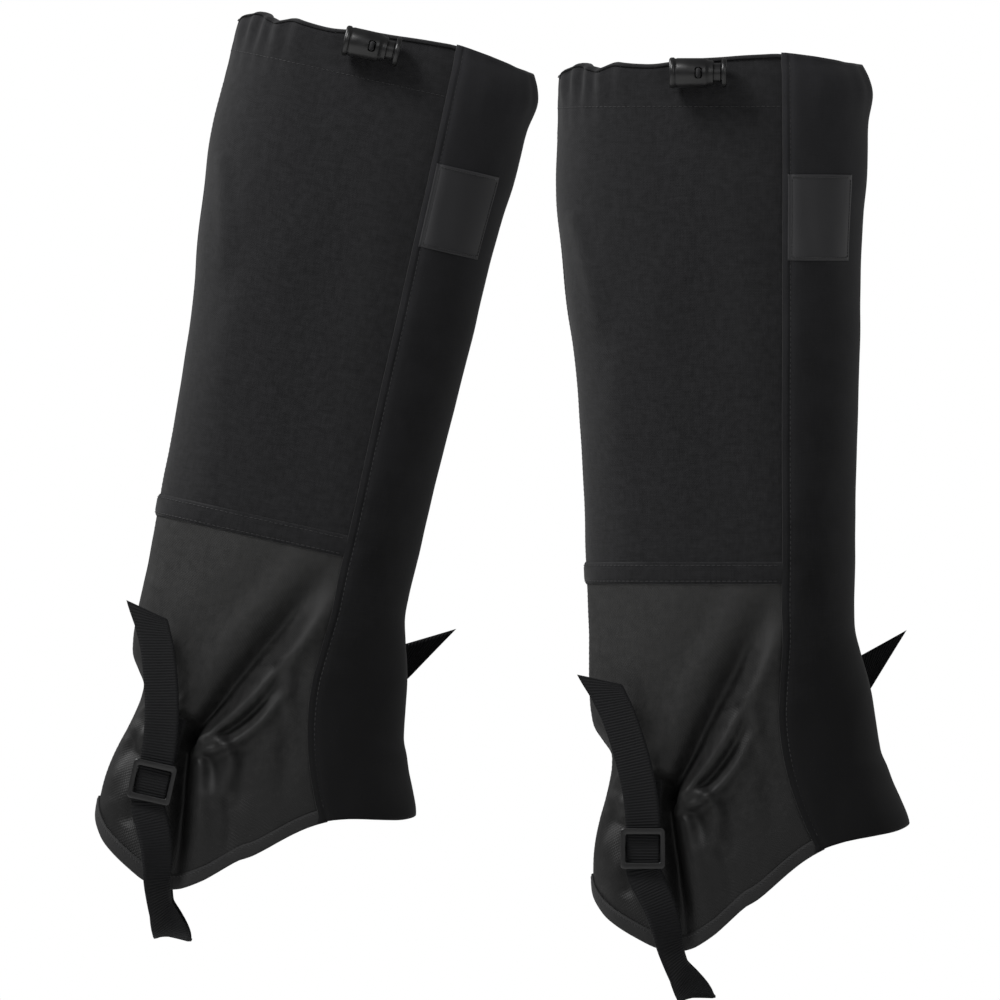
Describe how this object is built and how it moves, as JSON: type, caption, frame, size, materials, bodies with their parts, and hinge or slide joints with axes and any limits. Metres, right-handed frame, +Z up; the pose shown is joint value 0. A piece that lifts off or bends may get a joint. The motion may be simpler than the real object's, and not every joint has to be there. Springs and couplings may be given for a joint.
{
  "type": "gaiters",
  "caption": "Pair of knee-high hiking gaiters with gathered cord-lock tops, a hook-and-loop shin flap, padded ankle panels and buckled instep straps.",
  "frame": {"origin": "on the right leg's axis, level with the underside of the right instep strap", "axes": "+X towards the toe, +Z up the leg, -Y towards the side with the flap's free edge"},
  "size_m": [0.4298, 0.3248, 0.5173],
  "materials": {
    "upper_fabric": "matte fine plain weave, charcoal black",
    "lower_fabric": "heavier plain weave with a satin sheen, charcoal",
    "flap_fabric": "smooth matte soft shell, deep black",
    "label": "blank satin patch",
    "trim_tape": "woven binding tape, black",
    "hook_and_loop": "black hook-and-loop pile",
    "webbing": "ribbed black webbing",
    "moulded_plastic": "satin black moulded plastic",
    "elastic": "braided black elastic",
    "eyelet_metal": "black painted brass",
    "spring_steel": "drawn steel wire",
    "hook_steel": "black oxide steel"
  },
  "bodies": {
    "right_gaiter": {"right_upper_outer_panel": "upper_fabric", "right_upper_inner_panel": "upper_fabric", "right_lower_outer_panel": "lower_fabric", "right_lower_inner_panel": "lower_fabric", "right_joining_band": "upper_fabric", "right_top_casing": "upper_fabric", "right_back_seam_tape": "trim_tape", "right_ankle_elastic": "elastic", "right_hem_binding": "trim_tape", "right_panel_loop_strip": "hook_and_loop", "right_cord_eyelet": "eyelet_metal", "right_drawcord": "elastic"},
    "right_flap": {"right_front_flap": "flap_fabric", "right_flap_hook_strip": "hook_and_loop", "right_label_patch": "label", "right_lace_hook_tab": "webbing", "right_lace_hook": "hook_steel"},
    "right_cord_lock": {"right_cord_lock_body": "moulded_plastic", "right_cord_lock_spring": "spring_steel"},
    "right_lock_button": {"right_cord_lock_button": "moulded_plastic"},
    "right_strap": {"right_instep_strap": "webbing", "right_outer_buckle": "moulded_plastic", "right_inner_buckle": "moulded_plastic", "right_outer_strap_tab": "webbing", "right_inner_strap_tab": "webbing"},
    "left_gaiter": {"left_upper_outer_panel": "upper_fabric", "left_upper_inner_panel": "upper_fabric", "left_lower_outer_panel": "lower_fabric", "left_lower_inner_panel": "lower_fabric", "left_joining_band": "upper_fabric", "left_top_casing": "upper_fabric", "left_back_seam_tape": "trim_tape", "left_ankle_elastic": "elastic", "left_hem_binding": "trim_tape", "left_panel_loop_strip": "hook_and_loop", "left_cord_eyelet": "eyelet_metal", "left_drawcord": "elastic"},
    "left_flap": {"left_front_flap": "flap_fabric", "left_flap_hook_strip": "hook_and_loop", "left_label_patch": "label", "left_lace_hook_tab": "webbing", "left_lace_hook": "hook_steel"},
    "left_cord_lock": {"left_cord_lock_body": "moulded_plastic", "left_cord_lock_spring": "spring_steel"},
    "left_lock_button": {"left_cord_lock_button": "moulded_plastic"},
    "left_strap": {"left_instep_strap": "webbing", "left_outer_buckle": "moulded_plastic", "left_inner_buckle": "moulded_plastic", "left_outer_strap_tab": "webbing", "left_inner_strap_tab": "webbing"}
  },
  "joints": [
    {"name": "right_flap_open", "type": "hinge", "parent": "right_gaiter", "child": "right_flap", "pos_m": [0.093, 0.02, 0.25], "axis": [0, 0, 1], "range_deg": [0, 75]},
    {"name": "right_lock_pull", "type": "slide", "parent": "right_gaiter", "child": "right_cord_lock", "axis": [0, -1, 0], "range_m": [0, 0.0025]},
    {"name": "right_button_push", "type": "slide", "parent": "right_cord_lock", "child": "right_lock_button", "axis": [-1, 0, 0], "range_m": [0, 0.004], "stiffness_N_per_m": 300, "springref_m": -0.003, "deforming": ["right_cord_lock_spring"]},
    {"name": "right_strap_swing", "type": "hinge", "parent": "right_gaiter", "child": "right_strap", "pos_m": [-0.033, 0, 0.11], "axis": [0, 1, 0], "range_deg": [-12, 12]},
    {"name": "left_flap_open", "type": "hinge", "parent": "left_gaiter", "child": "left_flap", "pos_m": [-0.1292, 0.2, 0.24919], "axis": [0.2181, 0, 0.9759], "range_deg": [0, 75]},
    {"name": "left_lock_pull", "type": "slide", "parent": "left_gaiter", "child": "left_cord_lock", "axis": [0, -1, 0], "range_m": [0, 0.0025]},
    {"name": "left_button_push", "type": "slide", "parent": "left_cord_lock", "child": "left_lock_button", "axis": [-0.9759, 0, 0.2181], "range_m": [0, 0.004], "stiffness_N_per_m": 300, "springref_m": -0.003, "deforming": ["left_cord_lock_spring"]},
    {"name": "left_strap_swing", "type": "hinge", "parent": "left_gaiter", "child": "left_strap", "pos_m": [-0.28271, 0.18, 0.14005], "axis": [0, 1, 0], "range_deg": [-12, 12]},
    {"name": "stride", "type": "slide", "parent": "right_gaiter", "child": "left_gaiter", "axis": [1, 0, 0], "range_m": [-0.08, 0.25]}
  ]
}
